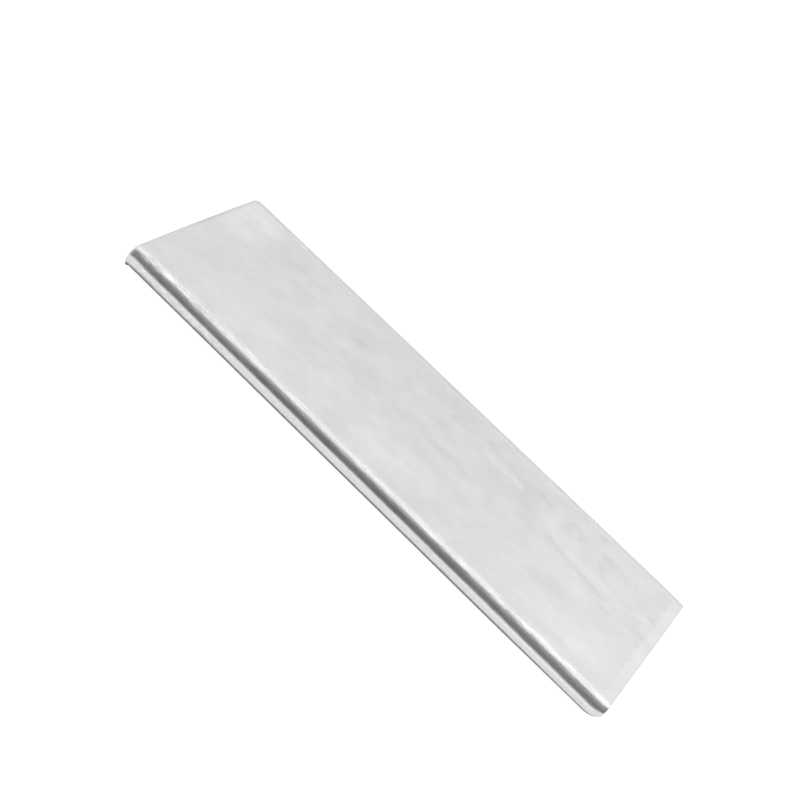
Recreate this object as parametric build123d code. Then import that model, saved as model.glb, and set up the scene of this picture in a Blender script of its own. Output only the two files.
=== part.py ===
"""Aluminium flat bar with rounded long edges, cut to length on a shear.

Axes: X along the bar, Y across its width, +Z up.  The origin is at the middle of the
face that the bar lies on.

Both ends carry the marks of the shear, and both cuts lean towards -X at the top.  The -X
end was held on the shear's table while the blade came down past it, so its top edge is
drawn down and its lower corners are spread.  The +X end was pushed off by the blade at
the next cut, so its bottom edge is drawn up, most of all at the corners.
"""
import os
from math import cos, radians, sin, sqrt

from build123d import *

# The stock, in millimetres
bar_length = 275.0
bar_width = 100.0
bar_thickness = 10.0
edge_depth = 7.5                     # how far in from the side the rounding of a long edge starts

# The -X end, held on the table
held_roll_length = 4.0               # how far from the cut the bar is still its full section
held_drop_middle = 0.5               # top edge drawn down, in the middle of the width
held_drop_corner = 0.8               # and at the corners
held_spread = 1.2                    # lower half of each rounded edge pushed out towards a square corner
held_lean = 2.5                      # how far back the cut leans over the full thickness, top foremost

# The +X end, pushed off by the blade
pushed_roll_length = 8.0
pushed_rise_middle = 1.5             # bottom edge drawn up, in the middle of the width
pushed_rise_corner = 5.0             # and at the corners
pushed_pull_in = 2.5                 # widest line of each rounded edge drawn in
pushed_lean = 0.7                    # how far back the cut leans over the full thickness, foot foremost

corner_zone = 20.0                   # how far in from the rounding a corner's deeper roll fades out
roll_sections = 10                   # sections lofted through each roll

half_length = bar_length / 2
half_thickness = bar_thickness / 2
round_centre = bar_width / 2 - edge_depth
quarter_weights = [1, sqrt(0.5), 1]  # they make a three-point Bezier a quarter of an ellipse


def straight_section():
    """The bar's section away from its ends, drawn with Y to the right and Z up."""
    outline = [
        Line((-round_centre, 0), (round_centre, 0)),
        Line((-round_centre, bar_thickness), (round_centre, bar_thickness)),
    ]
    for side, lowest_angle in ((1, -90), (-1, 90)):
        outline.append(EllipticalCenterArc((side * round_centre, half_thickness), edge_depth,
                                           half_thickness, lowest_angle, arc_size=180))
    return make_face(outline)


def rolled_section(x, foremost_height, lean=0.0, drop_middle=0.0, drop_corner=0.0,
                   rise_middle=0.0, rise_corner=0.0, pull_in=0.0, spread=0.0):
    """The section where a roll has changed it, on a plane that leans towards -X at the top.

    The plane passes x at foremost_height.  The top face is down by drop and the bottom
    face up by rise, each in the middle of the width and at the corners.  Pull_in moves
    the widest line of each rounded edge inwards, and spread pushes the edge's lower half
    out towards a square corner.
    """
    middle_top = bar_thickness - drop_middle
    corner_top = bar_thickness - drop_corner
    reach = bar_width / 2 - pull_in
    widest = (corner_top + rise_corner) / 2 - spread
    foot = round_centre + spread
    flat = round_centre - corner_zone

    def on_plane(y, z):
        return x + lean * (foremost_height - z) / bar_thickness, y, z

    edges = [
        Line(on_plane(-flat, middle_top), on_plane(flat, middle_top)),
        Line(on_plane(-flat, rise_middle), on_plane(flat, rise_middle)),
    ]
    for side in (-1, 1):

        def curve(*points, weights=None):
            return Bezier(*[on_plane(side * y, z) for y, z in points], weights=weights)

        def fade(inner_height, outer_end, outer_height):
            bend = (flat + outer_end) / 2
            return curve((flat, inner_height), (bend, inner_height),
                         (bend, outer_height), (outer_end, outer_height))

        def quarter(*points):
            return curve(*points, weights=quarter_weights)

        edges += [
            fade(middle_top, round_centre, corner_top),
            quarter((round_centre, corner_top), (reach, corner_top), (reach, widest)),
            quarter((reach, widest), (reach, rise_corner), (foot, rise_corner)),
            fade(rise_middle, foot, rise_corner),
        ]
    return Face(Wire(edges))


def rolled_end(direction, roll_length, foremost_height, lean, **full_roll):
    """Last stretch of the bar, where each change grows to its full size along an ellipse."""
    sections = []
    for step in range(roll_sections):
        angle = radians(90 * step / (roll_sections - 1))
        x = direction * (half_length - roll_length * (1 - sin(angle)))
        growth = 1 - cos(angle)
        roll = {name: size * growth for name, size in full_roll.items()}
        sections.append(rolled_section(x, foremost_height, lean * sin(angle), **roll))
    return loft(sections)


def flat_bar():
    straight_length = bar_length - held_roll_length - pushed_roll_length
    straight_start = held_roll_length - half_length
    straight = extrude(Plane.YZ.offset(straight_start) * straight_section(), straight_length)
    held_end = rolled_end(-1, held_roll_length, bar_thickness - held_drop_middle, held_lean,
                          drop_middle=held_drop_middle, drop_corner=held_drop_corner,
                          spread=held_spread)
    pushed_end = rolled_end(1, pushed_roll_length, pushed_rise_middle, pushed_lean,
                            rise_middle=pushed_rise_middle, rise_corner=pushed_rise_corner,
                            pull_in=pushed_pull_in)
    return (straight + held_end + pushed_end).solid()


os.makedirs("parts", exist_ok=True)
export_step(flat_bar(), "parts/flat_bar.step")
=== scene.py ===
import math

import bpy
from mathutils import Matrix, Quaternion, Vector


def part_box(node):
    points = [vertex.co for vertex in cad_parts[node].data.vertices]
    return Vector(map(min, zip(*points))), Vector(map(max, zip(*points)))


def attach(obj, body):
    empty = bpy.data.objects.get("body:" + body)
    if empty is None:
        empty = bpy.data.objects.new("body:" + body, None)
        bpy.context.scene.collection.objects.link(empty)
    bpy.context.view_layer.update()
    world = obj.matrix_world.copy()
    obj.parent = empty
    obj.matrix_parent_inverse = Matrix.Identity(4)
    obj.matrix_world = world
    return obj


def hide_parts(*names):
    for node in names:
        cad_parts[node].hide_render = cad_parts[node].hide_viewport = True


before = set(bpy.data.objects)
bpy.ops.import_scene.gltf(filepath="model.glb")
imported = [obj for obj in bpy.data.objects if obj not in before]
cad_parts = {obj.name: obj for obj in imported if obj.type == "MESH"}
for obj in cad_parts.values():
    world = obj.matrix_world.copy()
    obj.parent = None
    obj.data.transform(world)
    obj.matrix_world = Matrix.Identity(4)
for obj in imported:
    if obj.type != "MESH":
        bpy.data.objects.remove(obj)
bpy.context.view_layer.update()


class Field:
    # a node socket that takes part in ordinary arithmetic; each step adds one Math node
    def __init__(self, tree, socket):
        self.tree = tree
        self.socket = socket

    def math(self, operation, *terms):
        node = self.tree.nodes.new("ShaderNodeMath")
        node.operation = operation
        for slot, term in enumerate(terms):
            plug(self.tree, node.inputs[slot], term)
        return Field(self.tree, node.outputs[0])

    def __add__(self, other):
        return self.math("ADD", self, other)

    def __sub__(self, other):
        return self.math("SUBTRACT", self, other)

    def __rsub__(self, other):
        return self.math("SUBTRACT", other, self)

    def __mul__(self, other):
        return self.math("MULTIPLY", self, other)

    def __truediv__(self, other):
        return self.math("DIVIDE", self, other)

    def __pow__(self, other):
        return self.math("POWER", self, other)

    def __neg__(self):
        return self.math("MULTIPLY", self, -1.0)

    __radd__ = __add__
    __rmul__ = __mul__

    def sine(self):
        return self.math("SINE", self)

    def cosine(self):
        return self.math("COSINE", self)

    def root(self):
        return self.math("SQRT", self)

    def size(self):
        return self.math("ABSOLUTE", self)

    def sign(self):
        return self.math("SIGN", self)

    def smaller(self, other):
        return self.math("MINIMUM", self, other)

    def larger(self, other):
        return self.math("MAXIMUM", self, other)

    def over(self, other):
        return self.math("GREATER_THAN", self, other)

    def mixed(self, other, share):
        # this value where share is 0, the other where it is 1
        return self + (other - self) * share

    def between(self, low, high):
        # 0 at low, 1 at high, and held there outside
        node = self.tree.nodes.new("ShaderNodeMapRange")
        plug(self.tree, node.inputs["Value"], self)
        plug(self.tree, node.inputs["From Min"], low)
        plug(self.tree, node.inputs["From Max"], high)
        return Field(self.tree, node.outputs["Result"])

    def easeBetween(self, low, high):
        field = self.between(low, high)
        field.socket.node.interpolation_type = "SMOOTHSTEP"
        return field


def plug(tree, socket, value):
    if isinstance(value, Field):
        tree.links.new(value.socket, socket)
    else:
        socket.default_value = value


def split(tree, socket):
    # the X, Y and Z of a vector
    node = tree.nodes.new("ShaderNodeSeparateXYZ")
    tree.links.new(socket, node.inputs[0])
    return [Field(tree, output) for output in node.outputs]


def join(tree, x, y, z):
    node = tree.nodes.new("ShaderNodeCombineXYZ")
    for slot, value in enumerate((x, y, z)):
        plug(tree, node.inputs[slot], value)
    return node.outputs[0]


def noise(tree, place, perMetre, seed, detail=2.0, roughness=0.5):
    # soft noise from about -0.5 to 0.5, with its own grain size along X, Y and Z
    stretch = tree.nodes.new("ShaderNodeVectorMath")
    stretch.operation = "MULTIPLY"
    tree.links.new(place, stretch.inputs[0])
    stretch.inputs[1].default_value = perMetre
    node = tree.nodes.new("ShaderNodeTexNoise")
    node.noise_dimensions = "4D"
    tree.links.new(stretch.outputs[0], node.inputs["Vector"])
    plug(tree, node.inputs["W"], seed)
    node.inputs["Scale"].default_value = 1.0
    node.inputs["Detail"].default_value = detail
    node.inputs["Roughness"].default_value = roughness
    return Field(tree, node.outputs[0]) - 0.5


def newTree(name, kind, inputs, outputType):
    # an empty node tree with named inputs, what they give, and the socket of its one output
    tree = bpy.data.node_groups.new(name, kind)
    for label, socketType in inputs.items():
        tree.interface.new_socket(label, in_out="INPUT", socket_type=socketType)
    tree.interface.new_socket("Result", in_out="OUTPUT", socket_type=outputType)
    group = tree.nodes.new("NodeGroupInput")
    given = {socket.name: Field(tree, socket) for socket in group.outputs if socket.name}
    return tree, given, tree.nodes.new("NodeGroupOutput").inputs[0]


def rays(tree, *names):
    # 1 for the named kinds of ray, 0 for the others
    path = tree.nodes.new("ShaderNodeLightPath")
    return [Field(tree, path.outputs[name]) for name in names]


def levels(tree, value, stops):
    # a curve through the given stops, each a place and its level
    low, high = stops[0][0], stops[-1][0]
    ramp = tree.nodes.new("ShaderNodeValToRGB")
    elements = ramp.color_ramp.elements
    for number, (at, level) in enumerate(stops):
        element = elements[number] if number < 2 else elements.new(1.0)
        element.position = (at - low) / (high - low)
        element.color = (level, level, level, 1.0)
    plug(tree, ramp.inputs[0], value.between(low, high))
    return Field(tree, ramp.outputs["Color"])


barSizes = {
    "Edge Depth": 0.0075,          # how far in from the side the rounding of a long edge starts
    "Held Roll": 0.004,            # length of the -X end that the shear drew over
    "Held Drop": 0.0005,           # its top edge, drawn down
    "Held Corner Drop": 0.0008,
    "Held Spread": 0.0012,         # its lower corners, squared out
    "Held Lean": 0.0025,           # how far back its cut leans, top foremost
    "Held Tear": 0.0062,           # height where its cut turns from smooth to torn
    "Pushed Roll": 0.008,          # length of the +X end that the shear drew over
    "Pushed Rise": 0.0015,         # its bottom edge, drawn up
    "Pushed Corner Rise": 0.005,
    "Pushed Pull In": 0.0025,      # how far its rounding is drawn in
    "Pushed Lift": 0.0007,         # slight lift of its lower corners before the roll
    "Lift Length": 0.056,          # and how long before the roll that starts
    "Pushed Lean": 0.0007,         # how far back its cut leans, foot foremost
    "Pushed Tear": 0.0068,
    "Corner Zone": 0.020,          # how far in from the rounding a corner's deeper roll fades out
    "Rim Ease": 0.00012,           # radius left on the sharp edge of each cut
    "Tear Wander": 0.0018,         # how far the line between smooth and torn wanders
    "Tear Width": 0.0005,          # how wide that line is
    "Tear Step": 0.00008,          # how deep the torn metal starts
    "Tear Relief": 0.00025,        # and how deep it is pitted
    "Weld": 1e-6,                  # joins the sides of the grid along the bottom
}
barSteps = {                       # mesh steps
    "ease": 4,
    "cutFace": 24,
    "heldRoll": 14,
    "straight": 40,
    "pushedRoll": 20,
    "flat": 76,
    "fade": 56,
    "quarter": 14,
    "crowding": 1.2,               # above 1, the rings on a cut crowd towards its rim
}
tearNoise = {
    "seed": 7.0,
    "wander": {"perMetre": (0, 140, 0), "detail": 4.0},
    "pits": {"perMetre": (900, 900, 900), "detail": 4.0, "roughness": 0.65},
    "start": 0.08,                 # the pitting is full after this share of the way in from the rim
}


def stretches(value, counts):
    # each stretch runs from 0 to 1 while value passes its share of the steps
    ends = [sum(counts[:n]) for n in range(len(counts) + 1)]
    return [value.between(low, high) for low, high in zip(ends, ends[1:])]


def across(s):
    # steps across the corner zone, shorter towards its middle
    return s * 1.5 - s * s * 1.5 + s * s * s


def climb(s):
    # rises from 0 to 1, level at both ends
    return s * s * 3.0 - s * s * s * 2.0


def tornZones(tree, given, x, y, z, fromRim):
    # past a wandering line, how torn the foot of the -X cut and the top of the +X cut are, and how deep
    swing = noise(tree, join(tree, 0.0, y, 0.0), seed=given["Seed"], **tearNoise["wander"])
    wander = swing * given["Tear Wander"]
    heldTorn = (given["Held Tear"] + wander - z).easeBetween(0.0, given["Tear Width"])
    pushedTorn = (z - given["Pushed Tear"] - wander).easeBetween(0.0, given["Tear Width"])
    pits = noise(tree, join(tree, x, y, z), seed=given["Seed"], **tearNoise["pits"]) + 0.5
    depth = given["Tear Step"] + given["Tear Relief"] * pits
    return heldTorn, pushedTorn, depth * fromRim.between(0.0, tearNoise["start"])


def shapeMesh(tree, grid, attributes, position, given):
    # the attributes come first, because setting positions changes what every field reads
    end = grid.outputs["Mesh"]
    for name, value in attributes.items():
        store = tree.nodes.new("GeometryNodeStoreNamedAttribute")
        tree.links.new(end, store.inputs["Geometry"])
        store.inputs["Name"].default_value = name
        plug(tree, store.inputs["Value"], value)
        end = store.outputs[0]
    shape = tree.nodes.new("GeometryNodeSetPosition")
    tree.links.new(position, shape.inputs["Position"])
    close = tree.nodes.new("GeometryNodeMergeByDistance")
    plug(tree, close.inputs["Distance"], given["Weld"])
    smooth = tree.nodes.new("GeometryNodeSetShadeSmooth")
    real = tree.nodes.new("GeometryNodeRealizeInstances")
    finish = tree.nodes.new("GeometryNodeSetMaterial")
    plug(tree, finish.inputs["Material"], given["Material"])
    for node in (shape, close, smooth, real, finish):
        tree.links.new(end, node.inputs[0])
        end = node.outputs[0]
    return end


def barTree(sizes, steps):
    inputs = dict.fromkeys(["Length", "Width", "Thickness", *sizes, "Seed"], "NodeSocketFloat")
    inputs["Material"] = "NodeSocketMaterial"
    tree, given, out = newTree("flatBarShape", "GeometryNodeTree", inputs, "NodeSocketGeometry")
    cutSteps = steps["ease"] + steps["cutFace"]
    along = [cutSteps, steps["heldRoll"], steps["straight"], steps["pushedRoll"], cutSteps]
    half = [steps[name] for name in ("flat", "fade", "quarter", "quarter", "fade", "flat")]
    grid = tree.nodes.new("GeometryNodeMeshGrid")
    grid.inputs["Size X"].default_value = sum(along)
    grid.inputs["Size Y"].default_value = 2 * sum(half)
    grid.inputs["Vertices X"].default_value = sum(along) + 1
    grid.inputs["Vertices Y"].default_value = 2 * sum(half) + 1
    gridX, gridY, _ = split(tree, tree.nodes.new("GeometryNodeInputPosition").outputs[0])
    station = gridX + sum(along) / 2        # 0 at the middle of the -X cut
    up = gridY.size()                       # 0 at the bottom's middle line, and up either side to the top's
    down = sum(half) - up

    thickness = given["Thickness"]
    roundCentre = given["Width"] * 0.5 - given["Edge Depth"]
    flatHalf = roundCentre - given["Corner Zone"]
    quarterTurn = math.pi / 2

    # along the bar: rings on the cut, the roll, the straight, the roll, rings on the cut
    inHeld, heldRoll, straight, pushedRoll, inPushed = stretches(station, along)
    heldAngle = (1.0 - heldRoll) * quarterTurn
    pushedAngle = pushedRoll * quarterTurn
    heldGrowth = 1.0 - heldAngle.cosine()
    pushedGrowth = 1.0 - pushedAngle.cosine()

    # the half section from the top's middle line to the bottom's
    top1, top2, upper, lower, bottom2, bottom1 = stretches(down, half)
    straightLength = given["Length"] - given["Held Roll"] - given["Pushed Roll"]
    toRoll = (1.0 - straight) * straightLength
    lift = given["Pushed Lift"] * climb(1.0 - (toRoll / given["Lift Length"]).smaller(1.0))
    dropMiddle = given["Held Drop"] * heldGrowth
    dropCorner = given["Held Corner Drop"] * heldGrowth
    riseMiddle = given["Pushed Rise"] * pushedGrowth
    riseCorner = lift.mixed(given["Pushed Corner Rise"], pushedGrowth)
    pullIn = given["Pushed Pull In"] * pushedGrowth
    spread = given["Held Spread"] * heldGrowth
    cornerTop = thickness - dropCorner
    widest = (cornerTop + given["Pushed Corner Rise"] * pushedGrowth) * 0.5 - spread
    reach = given["Edge Depth"] - pullIn
    foot = roundCentre + spread
    upperAngle = upper * quarterTurn
    lowerAngle = lower * quarterTurn
    rimY = (flatHalf * top1 + given["Corner Zone"] * across(top2)
            + reach * upperAngle.sine()
            - (reach - spread) * (1.0 - lowerAngle.cosine())
            - (foot - flatHalf) * (1.0 - across(1.0 - bottom2)) - flatHalf * bottom1)
    rimZ = (thickness - dropMiddle - (dropCorner - dropMiddle) * climb(top2)
            - (cornerTop - widest) * (1.0 - upperAngle.cosine())
            - (widest - riseCorner) * lowerAngle.sine()
            - (riseCorner - riseMiddle) * climb(bottom2))

    # the cut: a few rings round its eased rim, then rings that close in on a line at mid height
    inward = (1.0 - inHeld).larger(inPushed)
    easeTurn = inward.between(0.0, steps["ease"] / cutSteps) * quarterTurn
    easeShare = given["Rim Ease"] / (thickness * 0.5)
    further = inward.between(steps["ease"] / cutSteps, 1.0) ** steps["crowding"]
    closing = easeShare * (1.0 - easeTurn.cosine()) + (1.0 - easeShare) * further
    mid1, mid2 = stretches(down.smaller(up), half[:2])
    midY = flatHalf * mid1 + given["Corner Zone"] * across(mid2)
    topZ = thickness - dropMiddle - (dropCorner - dropMiddle) * climb(mid2)
    bottomZ = riseMiddle + (riseCorner - riseMiddle) * climb(mid2)
    y = rimY.mixed(midY, closing) * -gridY.sign()
    z = rimZ.mixed((topZ + bottomZ) * 0.5, closing)

    # each cut leans towards -X at the top, and is eased where it isn't drawn over
    easing = given["Rim Ease"] * (1.0 - easeTurn.sine())
    heldBack = (given["Held Lean"] * (thickness - given["Held Drop"] - z) / thickness
                + easing * (thickness - rimZ) / thickness)
    pushedBack = given["Pushed Lean"] * (z - given["Pushed Rise"]) / thickness + easing * rimZ / thickness
    heldReach = heldAngle.sine()
    pushedReach = pushedAngle.sine()
    x = (given["Held Roll"] * (1.0 - heldReach) + straightLength * straight
         + given["Pushed Roll"] * pushedReach - given["Length"] * 0.5
         + heldBack * heldReach - pushedBack * pushedReach)

    heldTorn, pushedTorn, depth = tornZones(tree, given, x, y, z, further)
    heldTorn = heldTorn * (1.0 - inHeld).over(0.0)
    pushedTorn = pushedTorn * inPushed.over(0.0)
    x = x + depth * heldTorn - depth * pushedTorn
    attributes = {"cut": inward.over(0.0), "torn": heldTorn + pushedTorn}
    tree.links.new(shapeMesh(tree, grid, attributes, join(tree, x, y, z), given), out)
    return tree


def makeBar(material):
    low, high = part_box("flat_bar")
    size = high - low
    tree = barTree(barSizes, barSteps)
    holder = bpy.data.objects.new("barBuild", bpy.data.meshes.new("barBuild"))
    bpy.context.scene.collection.objects.link(holder)
    modifier = holder.modifiers.new("shape", "NODES")
    modifier.node_group = tree
    values = {"Length": size.x, "Width": size.y, "Thickness": size.z, "Seed": tearNoise["seed"],
              "Material": material, **barSizes}
    for item in tree.interface.items_tree:
        if item.in_out == "INPUT":
            modifier[item.identifier] = values[item.name]
    bpy.context.view_layer.update()
    ready = holder.evaluated_get(bpy.context.evaluated_depsgraph_get())
    mesh = bpy.data.meshes.new_from_object(ready)
    mesh.name = "flatBarBody"
    mesh.materials.pop(index=0)        # the empty slot that Set Material leaves in front
    bpy.data.objects.remove(holder)
    bar = bpy.data.objects.new("flatBarBody", mesh)
    bpy.context.scene.collection.objects.link(bar)
    print("bar made,", len(mesh.vertices), "vertices,", len(mesh.polygons), "faces")
    return bar


markShape = {
    "fade": (-0.25, 0.75),         # how far inside its oval a soft mark starts and is full, by its radius
    "lineEnds": 0.12,              # share of a wavering line's length that fades out at each end
    "gaps": (-0.20, 0.15),         # the raggedness breaks such a line below the first, not above the second
    "lineGain": 1.5,               # makes up for what the gaps take
}


def softMarkGroup():
    # a soft-edged oval
    names = ["X", "Y", "Ragged", "Centre X", "Centre Y", "Length", "Width", "Turn", "Strength"]
    inputs = dict.fromkeys(names, "NodeSocketFloat")
    tree, given, out = newTree("softMark", "ShaderNodeTree", inputs, "NodeSocketFloat")
    dx = given["X"] - given["Centre X"]
    dy = given["Y"] - given["Centre Y"]
    turnSine = given["Turn"].sine()
    turnCosine = given["Turn"].cosine()
    u = (dx * turnCosine + dy * turnSine) / given["Length"]
    v = (dy * turnCosine - dx * turnSine) / given["Width"]
    radius = (u * u + v * v).root() * 2.0 + given["Ragged"]
    tone = (1.0 - radius).easeBetween(*markShape["fade"]) * given["Strength"]
    tree.links.new(tone.socket, out)
    return tree


def creaseGroup():
    # a wavering line with soft sides and ends
    names = ["X", "Y", "Ragged", "Start", "End", "Height", "Slope", "Swing", "Wave", "Width", "Strength"]
    inputs = dict.fromkeys(names, "NodeSocketFloat")
    tree, given, out = newTree("crease", "ShaderNodeTree", inputs, "NodeSocketFloat")
    length = given["End"] - given["Start"]
    fromMiddle = given["X"] - (given["Start"] + given["End"]) * 0.5
    wave = (fromMiddle * (2 * math.pi) / given["Wave"]).sine()
    centre = given["Height"] + given["Slope"] * fromMiddle + given["Swing"] * (wave + given["Ragged"])
    line = (1.0 - (given["Y"] - centre).size() / given["Width"]).easeBetween(0.0, 1.0)
    ends = (0.5 - fromMiddle.size() / length).easeBetween(0.0, markShape["lineEnds"])
    whole = given["Ragged"].easeBetween(*markShape["gaps"]) * markShape["lineGain"]
    tone = line * ends * whole * given["Strength"]
    tree.links.new(tone.socket, out)
    return tree


def markTones(tree, x, y, ragged, marks, creases=()):
    # how much lighter or darker the metal is where it carries a mark
    uses = [("softMark", {"Centre X": mark["at"][0], "Centre Y": mark["at"][1], "Length": mark["size"][0],
                          "Width": mark["size"][1], "Turn": math.radians(mark.get("turn", 0)),
                          "Strength": mark["tone"]}) for mark in marks]
    uses += [("crease", {"Start": mark["x"][0], "End": mark["x"][1], "Height": mark["y"],
                         "Slope": mark["slope"], "Swing": mark["swing"][0], "Wave": mark["swing"][1],
                         "Width": mark["width"], "Strength": mark["tone"]}) for mark in creases]
    makers = {"softMark": softMarkGroup, "crease": creaseGroup}
    tones = []
    for kind, values in uses:
        node = tree.nodes.new("ShaderNodeGroup")
        node.node_tree = bpy.data.node_groups.get(kind) or makers[kind]()
        for name, value in {"X": x, "Y": y, "Ragged": ragged, **values}.items():
            plug(tree, node.inputs[name], value)
        tones.append(Field(tree, node.outputs[0]))
    return sum(tones)


def noises(tree, place, look):
    # a look's noises, each with what its entry says
    return {name: noise(tree, place, *values) for name, values in look["noise"].items()}


def finished(fields, look):
    # a finish's tone, roughness and height in metres: its fields added up, each by its share
    tone, roughness, height = [sum(fields[name] * share for name, share in look[part].items())
                               for part in ("tone", "roughness", "height")]
    return tone, roughness + look["plainRoughness"], height


def plainFinish(tree, place, look):
    # a finish that is nothing but its noises
    return finished(noises(tree, place, look), look)


# mill finish of the two flat faces
faceLook = {
    "noise": {                     # grains per metre along X, Y and Z, seed, detail
        "bigClouds": ((42, 54, 54), 11.0, 2.0),
        "smallClouds": ((120, 170, 170), 12.0, 3.0),
        "specks": ((500, 700, 700), 13.0, 2.0),
        "ragged": ((150, 190, 150), 14.0, 3.0),
        "patches": ((60, 80, 80), 15.0, 4.0),
        "rollLines": ((18, 3600, 3600), 16.0, 2.0),
    },
    "tone": {"bigClouds": 0.13, "smallClouds": 0.13, "specks": 0.06, "rollLines": 0.03, "patches": 0.030,
             "marks": 1.0, "blade": 0.066},
    "roughness": {"smallClouds": 0.10, "bigClouds": 0.08, "blade": -0.08},
    "height": {"rollLines": 1.5e-6, "smallClouds": 8e-6, "specks": 1e-6},
    "plainRoughness": 0.36,
    "topFrom": 0.9,                # share of the thickness above which it's the top face
    "raggedness": 0.9,             # of the outlines of the marks
    "patchLimits": (-0.02, 0.07),  # of the noise, where a patch starts and is full
    "patchMean": 0.4,              # taken off, so that the patches only vary the tone
    # near and far side of the blade's lighter strip, in from the +X cut, how soft they are, and how ragged
    "bladeSides": (0.0006, 0.0052),
    "bladeEase": (0.0006, 0.0010),
    "bladeRagged": 0.001,
    # how hard the blade pressed, from the near side of the bar to the far one
    "bladePress": [(-0.043, 0.30), (-0.025, 0.45), (-0.019, 1.0), (-0.003, 0.90), (0.003, 0.40),
                   (0.016, 0.55), (0.023, 0.85), (0.043, 0.75)],
}
# soft marks on the top face, with painted light and shade among them: centre, length and width in metres,
# turn in degrees, tone
faceMarksAndPaintedLight = [
    # painted light: the +X part of the top face lighter, as more light falls there
    {"at": (0.108, -0.006), "size": (0.110, 0.130), "turn": 0, "tone": 0.027},
    {"at": (-0.048, 0.018), "size": (0.010, 0.006), "turn": 25, "tone": -0.060},
    {"at": (-0.045, 0.024), "size": (0.030, 0.020), "turn": 30, "tone": -0.035},
    {"at": (-0.103, 0.028), "size": (0.026, 0.020), "turn": 10, "tone": -0.050},
    # painted highlight: the far corner of the -X end lighter
    {"at": (-0.129, 0.032), "size": (0.036, 0.044), "turn": 0, "tone": 0.085},
    {"at": (-0.118, 0.034), "size": (0.012, 0.012), "turn": 0, "tone": 0.045},
    {"at": (-0.130, 0.025), "size": (0.012, 0.0022), "turn": 2, "tone": -0.045},
    {"at": (-0.092, 0.022), "size": (0.014, 0.010), "turn": 12, "tone": 0.045},
    {"at": (-0.083, 0.017), "size": (0.022, 0.005), "turn": 6, "tone": -0.030},
    {"at": (-0.075, -0.028), "size": (0.070, 0.024), "turn": 4, "tone": 0.030},
    {"at": (-0.063, -0.015), "size": (0.024, 0.012), "turn": 35, "tone": -0.018},
    {"at": (-0.050, 0.009), "size": (0.018, 0.010), "turn": 20, "tone": 0.028},
    {"at": (0.001, -0.027), "size": (0.056, 0.028), "turn": 0, "tone": 0.045},
    {"at": (0.061, -0.026), "size": (0.050, 0.028), "turn": 0, "tone": 0.025},
    {"at": (0.083, -0.014), "size": (0.022, 0.013), "turn": 20, "tone": -0.034},
    {"at": (0.113, -0.027), "size": (0.056, 0.032), "turn": 8, "tone": 0.045},
    {"at": (0.106, -0.037), "size": (0.026, 0.004), "turn": -2, "tone": -0.030},
    {"at": (-0.010, 0.001), "size": (0.090, 0.016), "turn": 0, "tone": -0.024},
    {"at": (0.004, 0.016), "size": (0.012, 0.006), "turn": 0, "tone": -0.030},
    {"at": (0.055, 0.023), "size": (0.022, 0.024), "turn": 0, "tone": -0.040},
    {"at": (0.059, 0.009), "size": (0.032, 0.012), "turn": -52, "tone": -0.030},
    {"at": (0.069, 0.024), "size": (0.009, 0.028), "turn": 0, "tone": 0.035},
    {"at": (0.079, 0.027), "size": (0.013, 0.012), "turn": 20, "tone": -0.078},
    {"at": (0.0795, 0.0274), "size": (0.006, 0.008), "turn": 35, "tone": 0.095},
    {"at": (0.0826, 0.0262), "size": (0.003, 0.006), "turn": 15, "tone": -0.045},
    {"at": (0.099, 0.0205), "size": (0.014, 0.006), "turn": -57, "tone": -0.050},
    {"at": (0.099, 0.0062), "size": (0.022, 0.005), "turn": -8, "tone": -0.032},
    {"at": (0.0905, 0.0395), "size": (0.006, 0.005), "turn": -20, "tone": -0.085},
    {"at": (0.1157, 0.0271), "size": (0.004, 0.005), "turn": 0, "tone": -0.045},
    {"at": (0.1295, 0.019), "size": (0.005, 0.004), "turn": 0, "tone": -0.050},
    {"at": (0.0797, 0.0412), "size": (0.009, 0.0036), "turn": -12, "tone": -0.045},
    {"at": (-0.021, 0.032), "size": (0.009, 0.003), "turn": -60, "tone": -0.045},
    {"at": (0.013, 0.034), "size": (0.110, 0.018), "turn": 0, "tone": -0.026},
    # painted reflection: a darker line along the drawn-over rim of the -X end, where the roll reflects darker
    {"at": (-0.137, 0.018), "size": (0.0040, 0.068), "turn": 0, "tone": -0.110},
]
# wavering lines that the rolling left: ends along X, height at mid length, slope, swing and its length, width
faceCreases = [
    {"x": (0.069, 0.112), "y": 0.0078, "slope": -0.13,
     "swing": (0.0006, 0.022), "width": 0.003, "tone": -0.060},
    {"x": (0.074, 0.110), "y": 0.0126, "slope": -0.03,
     "swing": (0.0006, 0.032), "width": 0.003, "tone": 0.060},
    {"x": (0.105, 0.134), "y": 0.0028, "slope": 0.09,
     "swing": (0.0014, 0.036), "width": 0.003, "tone": -0.050},
    {"x": (0.001, 0.031), "y": 0.0298, "slope": 0.06,
     "swing": (0.0020, 0.034), "width": 0.004, "tone": -0.055},
    {"x": (0.034, 0.067), "y": 0.0295, "slope": 0.00,
     "swing": (0.0012, 0.021), "width": 0.003, "tone": -0.055},
    {"x": (0.027, 0.051), "y": 0.0242, "slope": -0.12,
     "swing": (0.0012, 0.019), "width": 0.003, "tone": 0.060},
    {"x": (0.094, 0.112), "y": 0.0292, "slope": -0.15,
     "swing": (0.0004, 0.017), "width": 0.004, "tone": -0.045},
    {"x": (0.110, 0.133), "y": 0.0130, "slope": 0.25,
     "swing": (0.0010, 0.020), "width": 0.003, "tone": 0.040},
    {"x": (-0.020, 0.048), "y": 0.0024, "slope": 0.00,
     "swing": (0.0016, 0.019), "width": 0.004, "tone": -0.030},
    {"x": (-0.062, -0.022), "y": -0.0040, "slope": 0.03,
     "swing": (0.0014, 0.014), "width": 0.004, "tone": -0.025},
    {"x": (0.070, 0.128), "y": 0.0340, "slope": 0.00,
     "swing": (0.0008, 0.025), "width": 0.003, "tone": 0.030},
]


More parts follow.
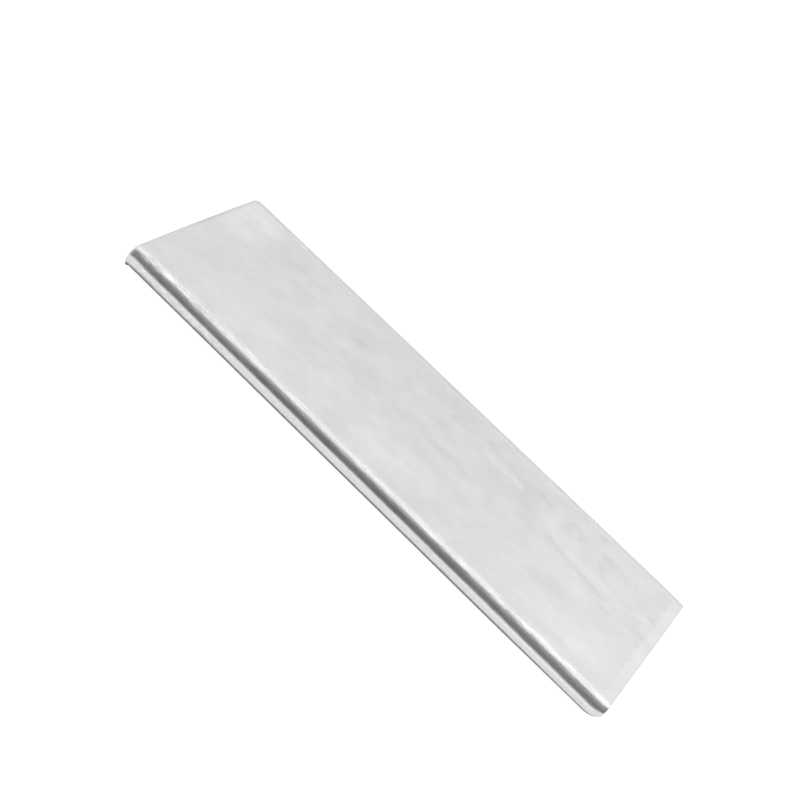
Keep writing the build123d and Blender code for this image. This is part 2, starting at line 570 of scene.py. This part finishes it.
def faceFinish(tree, place, x, y, z):
    # clouds, roll lines, and the marks on top
    _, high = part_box("flat_bar")
    onTop = z.over(high.z * faceLook["topFrom"])
    fields = noises(tree, place, faceLook)
    ragged = fields["ragged"] * faceLook["raggedness"]
    inFromCut = high.x - barSizes["Pushed Lean"] - x + ragged * faceLook["bladeRagged"]
    nearSide, farSide = faceLook["bladeSides"]
    nearEase, farEase = faceLook["bladeEase"]
    pressed = (inFromCut.easeBetween(nearSide - nearEase, nearSide)
               * (1.0 - inFromCut.easeBetween(farSide - farEase, farSide + farEase)))
    fields["blade"] = pressed * levels(tree, y, faceLook["bladePress"]) * onTop
    fields["patches"] = fields["patches"].easeBetween(*faceLook["patchLimits"]) - faceLook["patchMean"]
    # the marks hold painted light and shade as well as real marks
    fields["marks"] = markTones(tree, x, y, ragged, faceMarksAndPaintedLight, faceCreases) * onTop
    return finished(fields, faceLook)


# long edges, burnished by the rolls: short bright streaks along the bar, and a wavy shoulder above and below
edgeLook = {
    "noise": {                     # as above, and for the waves a roughness too
        "streaks": ((90, 800, 800), 5.0, 3.0),
        "waves": ((120, 380, 380), 6.0, 4.0, 0.6),
        "fineLines": ((22, 3000, 3000), 3.0, 2.0),
        "mottle": ((320, 760, 760), 31.0, 3.0),
        "grain": ((900, 1500, 1500), 9.0, 2.0),
    },
    "tone": {"shownStreaks": 0.36, "waves": 0.12, "fineLines": 0.08, "mottle": 0.60, "grain": 0.80,
             "spots": 1.0, "lowMarksAndShade": 1.0, "lowLine": -0.12},
    "roughness": {"waves": 0.20, "streaks": 0.10, "dulled": 0.04},
    "height": {"bumpyWaves": 160e-6, "bumpyStreaks": 14e-6, "waves": 8e-6, "fineLines": 1.5e-6},
    "plainRoughness": 0.16,
    "shoulder": (0.0018, 0.0036),  # how far from mid height the wavy shoulder starts and is full
    "sideStreaks": 0.3,            # what the side between the shoulders keeps of the streaks
    "dulled": (0.004, 0.030),      # how far from the -X end the lost gloss starts to come back, and is back
    "dulledWaves": 0.8,            # and how much higher the waves are there
    "mottled": (0.030, 0.090),     # how far from it the mottling starts to fade, and is gone
    "upperGrain": 0.4375,          # grain on the upper half, as a share of the lower half's
    "lineHeight": 0.46,            # a dull line low on the side, by the thickness, and its half width
    "lineWidth": 0.0008,
    "spotRagged": 1.6,             # raggedness of the spots above mid height, and below
    "lowSpotRagged": 1.2,
}
# painted reflection on the shoulders of the long edges: spots where the highlight and the dark band below it
# are painted lighter and darker, as the marks on top
edgeReflectionSpots = [
    {"at": (-0.117, -0.0446), "size": (0.010, 0.0026), "tone": 0.16},
    {"at": (-0.107, -0.0429), "size": (0.011, 0.0012), "tone": 0.12},
    {"at": (-0.106, -0.0448), "size": (0.008, 0.0016), "tone": 0.10},
    {"at": (-0.097, -0.0440), "size": (0.018, 0.0040), "tone": -0.09},
    {"at": (-0.086, -0.0470), "size": (0.042, 0.0036), "tone": 0.30},
    {"at": (-0.068, -0.0432), "size": (0.009, 0.0016), "tone": 0.14},
    {"at": (-0.064, -0.0452), "size": (0.010, 0.0018), "tone": 0.16},
    {"at": (-0.041, -0.0452), "size": (0.014, 0.0016), "tone": 0.10},
    {"at": (-0.038, -0.0432), "size": (0.013, 0.0014), "tone": 0.10},
    {"at": (-0.003, -0.0455), "size": (0.005, 0.0020), "tone": 0.18},
    {"at": (0.001, -0.0435), "size": (0.006, 0.0016), "tone": 0.10},
    {"at": (0.010, -0.0438), "size": (0.010, 0.0016), "tone": 0.09},
    {"at": (0.037, -0.0452), "size": (0.011, 0.0020), "tone": 0.14},
    {"at": (0.056, -0.0440), "size": (0.006, 0.0026), "tone": 0.09},
    {"at": (0.083, -0.0436), "size": (0.016, 0.0040), "tone": -0.09},
    {"at": (0.091, -0.0447), "size": (0.007, 0.0026), "tone": 0.15},
    {"at": (0.099, -0.0435), "size": (0.012, 0.0022), "tone": 0.14},
    {"at": (0.108, -0.0448), "size": (0.011, 0.0022), "tone": 0.14},
    {"at": (0.115, -0.0433), "size": (0.008, 0.0018), "tone": 0.18},
    {"at": (0.124, -0.0440), "size": (0.010, 0.0030), "tone": -0.05},
    {"at": (0.133, -0.0446), "size": (0.009, 0.0034), "tone": 0.18},
    {"at": (0.045, -0.0477), "size": (0.080, 0.0040), "tone": -0.08},
    {"at": (0.0618, 0.0450), "size": (0.010, 0.0030), "tone": -0.12},
]
# and on the lower half of the near edge, dark marks and painted contact shade just above the foot: place
# along X and height
lowEdgeMarksAndShade = [
    {"at": (-0.124, 0.0046), "size": (0.011, 0.0018), "tone": -0.14},
    {"at": (-0.090, 0.0042), "size": (0.008, 0.0014), "tone": -0.20},
    {"at": (-0.095, 0.0050), "size": (0.011, 0.0008), "tone": -0.10},
    {"at": (-0.093, 0.0062), "size": (0.018, 0.0016), "tone": 0.07},
    {"at": (0.0525, 0.0044), "size": (0.006, 0.0014), "tone": -0.12},
    {"at": (0.026, 0.0058), "size": (0.030, 0.0016), "tone": 0.05},
    # painted shade: the lower side darkened just above the foot towards the -X end, where it reflects the
    # contact shadow
    {"at": (-0.127, 0.0046), "size": (0.034, 0.0022), "tone": -0.10},
    {"at": (-0.092, 0.0046), "size": (0.060, 0.0016), "tone": -0.05},
]


def edgeFinish(tree, place, x, y, z):
    low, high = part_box("flat_bar")
    fields = noises(tree, place, edgeLook)
    streaks = fields["streaks"]
    fromEnd = x - low.x
    fromMiddle = z - high.z * 0.5
    upper = fromMiddle.over(0.0)
    near = (-y).over(0.0)
    shoulder = fromMiddle.size().easeBetween(*edgeLook["shoulder"])
    dulled = 1.0 - fromEnd.easeBetween(*edgeLook["dulled"])
    fromLine = (z - high.z * edgeLook["lineHeight"]).size()
    fields["dulled"] = dulled
    fields["lowLine"] = (1.0 - fromLine / edgeLook["lineWidth"]).easeBetween(0.0, 1.0)
    fields["mottle"] = fields["mottle"] * (1.0 - fromEnd.easeBetween(*edgeLook["mottled"]))
    fields["grain"] = fields["grain"] * (1.0 - upper * (1.0 - edgeLook["upperGrain"]))
    fields["shownStreaks"] = streaks * (shoulder * (1.0 - edgeLook["sideStreaks"]) + edgeLook["sideStreaks"])
    fields["bumpyStreaks"] = streaks * shoulder
    fields["bumpyWaves"] = fields["waves"] * (dulled * edgeLook["dulledWaves"] + 1.0) * shoulder
    # painted reflection: above mid height the spots lighten and darken the highlight and the dark band
    fields["spots"] = markTones(tree, x, y, streaks * edgeLook["spotRagged"], edgeReflectionSpots) * upper
    # dark marks, and painted contact shade where the lower side reflects the bar's shadow on the floor, near
    # side below mid height
    lowMarksAndShade = markTones(tree, x, z, streaks * edgeLook["lowSpotRagged"], lowEdgeMarksAndShade)
    fields["lowMarksAndShade"] = lowMarksAndShade * (1.0 - upper) * near
    return finished(fields, edgeLook)


# the smooth part of a cut: fine lines up it, as the blade drew them
cutLook = {
    "noise": {"drawnLines": ((90, 2600, 60), 21.0, 3.0)},
    "tone": {"drawnLines": 0.16},
    "roughness": {"drawnLines": 0.10},
    "height": {"drawnLines": 8e-6},
    "plainRoughness": 0.26,
}
# the torn part: grains and hollows
tornLook = {
    "noise": {"grains": ((1600, 1600, 1600), 22.0, 4.0, 0.7)},
    "tone": {"grains": 0.9},
    "roughness": {"grains": 0.2},
    "height": {"grains": 90e-6},
    "plainRoughness": 0.55,
}
metal = {
    # colours of the four finishes
    "face": (0.807, 0.790, 0.798, 1.0),
    "edge": (0.840, 0.823, 0.832, 1.0),
    "cut": (0.800, 0.785, 0.792, 1.0),
    "torn": (0.560, 0.548, 0.555, 1.0),
    # where the edges' finish starts and is full, outward from the end of the flat, and how ragged that is
    "edgeStart": (-0.0016, 0.0004),
    "edgeNoise": ((110, 900, 900), 4.0, 3.0),
    "edgeRagged": 0.005,
}


def layered(tree, colour, layer, share):
    # lays a colour over another by a share from 0 to 1
    mix = tree.nodes.new("ShaderNodeMix")
    mix.data_type = "RGBA"
    below, above = [socket for socket in mix.inputs if socket.type == "RGBA"]
    plug(tree, mix.inputs[0], share)
    if isinstance(colour, tuple):
        below.default_value = colour
    else:
        tree.links.new(colour, below)
    above.default_value = layer
    return [socket for socket in mix.outputs if socket.type == "RGBA"][0]


def millAluminium():
    _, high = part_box("flat_bar")
    material = bpy.data.materials.new("millAluminium")
    material.use_nodes = True
    tree = material.node_tree
    shader = tree.nodes["Principled BSDF"]
    place = tree.nodes.new("ShaderNodeTexCoord").outputs["Object"]
    x, y, z = split(tree, place)

    def attribute(name):
        node = tree.nodes.new("ShaderNodeAttribute")
        node.attribute_name = name
        return Field(tree, node.outputs["Fac"])

    pastFlat = y.size() - (high.y - barSizes["Edge Depth"])
    ragged = noise(tree, place, *metal["edgeNoise"]) * metal["edgeRagged"]
    edge = (pastFlat + ragged).easeBetween(*metal["edgeStart"])

    colour = metal["face"]
    tone, roughness, height = faceFinish(tree, place, x, y, z)
    layers = {
        "edge": (edge, edgeFinish(tree, place, x, y, z)),
        "cut": (attribute("cut"), plainFinish(tree, place, cutLook)),
        "torn": (attribute("torn"), plainFinish(tree, place, tornLook)),
    }
    for name, (share, finish) in layers.items():
        colour = layered(tree, colour, metal[name], share)
        tone = tone.mixed(finish[0], share)
        roughness = roughness.mixed(finish[1], share)
        height = height.mixed(finish[2], share)
    shade = tree.nodes.new("ShaderNodeVectorMath")
    shade.operation = "SCALE"
    tree.links.new(colour, shade.inputs[0])
    plug(tree, shade.inputs["Scale"], tone + 1.0)
    tree.links.new(shade.outputs[0], shader.inputs["Base Color"])
    plug(tree, shader.inputs["Roughness"], roughness)
    shader.inputs["Metallic"].default_value = 1.0
    bump = tree.nodes.new("ShaderNodeBump")        # heights are in metres
    bump.inputs["Distance"].default_value = 1.0
    plug(tree, bump.inputs["Height"], height)
    tree.links.new(bump.outputs[0], shader.inputs["Normal"])
    print("metal made,", len(tree.nodes), "nodes")
    return material


floorLook = {
    "size": 8.0,
    "colour": 0.80,
    "roughness": 0.9,
    "glow": 0.75,                  # brings the floor to white for the camera
    "shine": 0.09,                 # the same for what the metal shows of it
    "footShine": 0.22,             # painted light: the floor glows more for the metal close to the bar, lifting the bar's own shadow there
    "footShade": (0.65, 0.38),     # painted contact shadow: colour left to the floor where the bar meets it, seen and mirrored
    # how far out from there, in the metal, the shine starts, is full, and is back to plain
    "footReach": (0.0030, 0.0084, 0.015),
    # the shadow ends this far inside the bar's box, at the sides, the -X end and the +X end
    "footInset": (0.0046, 0.0029, 0.0028),
    "footLift": (0.95, 1.56),      # and further in by these shares of a corner's slight lift and of its rise
    # how soft it ends: width at the sides, more of it per lift of a corner, and how much steeper the ends are
    "footFade": (0.0004, 0.12, 0.30),
}


def drawnOver(share):
    # how far the metal is drawn over, by the share of the roll that is passed
    return 1.0 - (1.0 - share * share).root()


def pastFoot(x, y):
    # how far outside the bar's foot the floor lies, past its ends and its sides, and the foot's lift there
    low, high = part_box("flat_bar")
    side, held, pushed = floorLook["footInset"]
    slightLift, endRise = floorLook["footLift"]
    rollStart = high.x - barSizes["Pushed Roll"]
    liftStart = rollStart - barSizes["Lift Length"]
    lift = x.easeBetween(liftStart, rollStart) * (barSizes["Pushed Lift"] * slightLift)
    lifted = lift.mixed(barSizes["Pushed Corner Rise"] * endRise, drawnOver(x.between(rollStart, high.x)))
    spread = drawnOver((-x).between(-low.x - barSizes["Held Roll"], -low.x)) * barSizes["Held Spread"]
    pastEnds = (x - (high.x - pushed)).larger((low.x + held) - x)
    pastSides = y.size() + (lifted - spread + side) - high.y
    return pastEnds, pastSides, lifted


def paleFloor():
    material = bpy.data.materials.new("paleFloor")
    material.use_nodes = True
    tree = material.node_tree
    shader = tree.nodes["Principled BSDF"]
    shader.inputs["Roughness"].default_value = floorLook["roughness"]
    shader.inputs["Specular IOR Level"].default_value = 0.0
    shader.inputs["Emission Color"].default_value = (1.0, 1.0, 1.0, 1.0)
    x, y, _ = split(tree, tree.nodes.new("ShaderNodeTexCoord").outputs["Object"])
    pastEnds, pastSides, lifted = pastFoot(x, y)
    outside = pastEnds.larger(pastSides)
    seen, glossy, through = rays(tree, "Is Camera Ray", "Is Glossy Ray", "Is Transmission Ray")
    mirrored = glossy.larger(through)
    start, full, gone = floorLook["footReach"]
    fade, lifting, steepness = floorLook["footFade"]
    seenOutside = (pastEnds * steepness).larger(pastSides)
    seenLit = (seenOutside / (lifted * lifting + fade)).easeBetween(0.0, 1.0)
    lit = seenLit.mixed(outside.easeBetween(start, full), mirrored)
    # painted contact shadow: the floor's colour darkened where the bar meets it, more for what the metal
    # shows
    seenShade, mirroredShade = floorLook["footShade"]
    shade = (mirrored * (mirroredShade - seenShade) + seenShade).mixed(1.0, lit)
    plug(tree, shader.inputs["Base Color"], shade * floorLook["colour"])
    # painted light: the floor's glow for what the metal shows, stronger close to the bar where its shadow
    # lies
    shine = (1.0 - outside.easeBetween(full, gone)) * floorLook["footShine"] + floorLook["shine"]
    glow = seen * floorLook["glow"] + mirrored * shine
    plug(tree, shader.inputs["Emission Strength"], glow * lit)
    return material


def makeFloor():
    reach = floorLook["size"] / 2
    corners = [(-reach, -reach, 0), (reach, -reach, 0), (reach, reach, 0), (-reach, reach, 0)]
    mesh = bpy.data.meshes.new("floor")
    mesh.from_pydata(corners, [], [(0, 1, 2, 3)])
    mesh.materials.append(paleFloor())
    floor = bpy.data.objects.new("floor", mesh)
    bpy.context.scene.collection.objects.link(floor)
    print("floor made")


studio = {
    # brightness round the studio, by degrees from the front's horizon over the top to the back's
    "round": [(0, 0.88), (14, 0.92), (25, 0.92), (32, 0.78), (39, 0.48), (46, 0.25), (54, 0.17), (66, 0.17),
              (76, 0.21), (86, 0.285), (93, 0.40), (100, 0.63), (107, 0.91), (113, 1.05), (120, 1.06),
              (132, 1.02), (147, 0.86), (158, 0.80), (180, 0.80)],
    # the same towards the ends of the bar, and its share by how far the direction points along +X
    "roundAside": [(0, 0.88), (14, 0.92), (25, 0.92), (32, 0.78), (39, 0.48), (46, 0.27), (54, 0.20),
                   (66, 0.20), (76, 0.24), (86, 0.285), (95, 0.335), (101, 0.425), (105, 0.60), (108, 0.82),
                   (111, 0.98), (114, 1.05), (120, 1.06), (132, 1.02), (147, 0.86), (158, 0.80),
                   (180, 0.80)],
    "asideShare": [(-0.33, 1.0), (-0.26, 0.7), (-0.19, 0.0), (-0.07, 0.0), (-0.01, 1.0)],
    "darkWidth": (30, 65),         # degrees to either side of the front where the dark ends and is gone
    "aside": 0.92,                 # brightness beside the dark front
    # brightness from side to side, by how far the direction points along +X
    "sweep": [(-0.6, 1.0), (-0.3, 1.0), (-0.14, 0.97), (0.06, 1.075), (0.3, 1.02), (0.6, 1.0)],
}


def makeWorld():
    world = bpy.data.worlds.new("studio")
    bpy.context.scene.world = world
    world.use_nodes = True
    tree = world.node_tree
    dx, dy, dz = split(tree, tree.nodes.new("ShaderNodeTexCoord").outputs["Generated"])
    degrees = 180 / math.pi
    overTop = dz.math("ARCTAN2", dz, -dy) * degrees
    sideways = dx.math("ARCSINE", dx.size()) * degrees
    middle = levels(tree, overTop, studio["round"])
    ends = levels(tree, overTop, studio["roundAside"])
    level = middle.mixed(ends, levels(tree, dx, studio["asideShare"]))
    level = level.mixed(studio["aside"], sideways.easeBetween(*studio["darkWidth"]))
    level = level * levels(tree, dx, studio["sweep"])
    seen, diffuse = rays(tree, "Is Camera Ray", "Is Diffuse Ray")
    background = tree.nodes["Background"]
    background.inputs["Color"].default_value = (1.0, 1.0, 1.0, 1.0)
    plug(tree, background.inputs["Strength"], level.mixed(1.0, seen.larger(diffuse)))
    print("studio made")


cameraView = {
    "location": (0.07850, -0.50515, 0.37313),
    "target": (-0.01711, 0.01452, 0.00500),
    "roll": 37.9115,
    "lens": 64.673,
    "sensor": 36.0,
    "clipStart": 0.01,
}


def makeCamera():
    data = bpy.data.cameras.new("camera")
    data.lens = cameraView["lens"]
    data.sensor_width = cameraView["sensor"]
    data.clip_start = cameraView["clipStart"]
    camera = bpy.data.objects.new("camera", data)
    location = Vector(cameraView["location"])
    aim = (Vector(cameraView["target"]) - location).to_track_quat("-Z", "Y")
    turn = Quaternion((0, 0, 1), math.radians(cameraView["roll"]))
    camera.matrix_world = Matrix.Translation(location) @ (aim @ turn).to_matrix().to_4x4()
    bpy.context.scene.collection.objects.link(camera)
    bpy.context.scene.camera = camera
    print("camera placed")


makeCamera()
bar = makeBar(millAluminium())
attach(bar, "root")
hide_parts("flat_bar")
makeFloor()
makeWorld()
bpy.context.scene.view_settings.view_transform = "Standard"
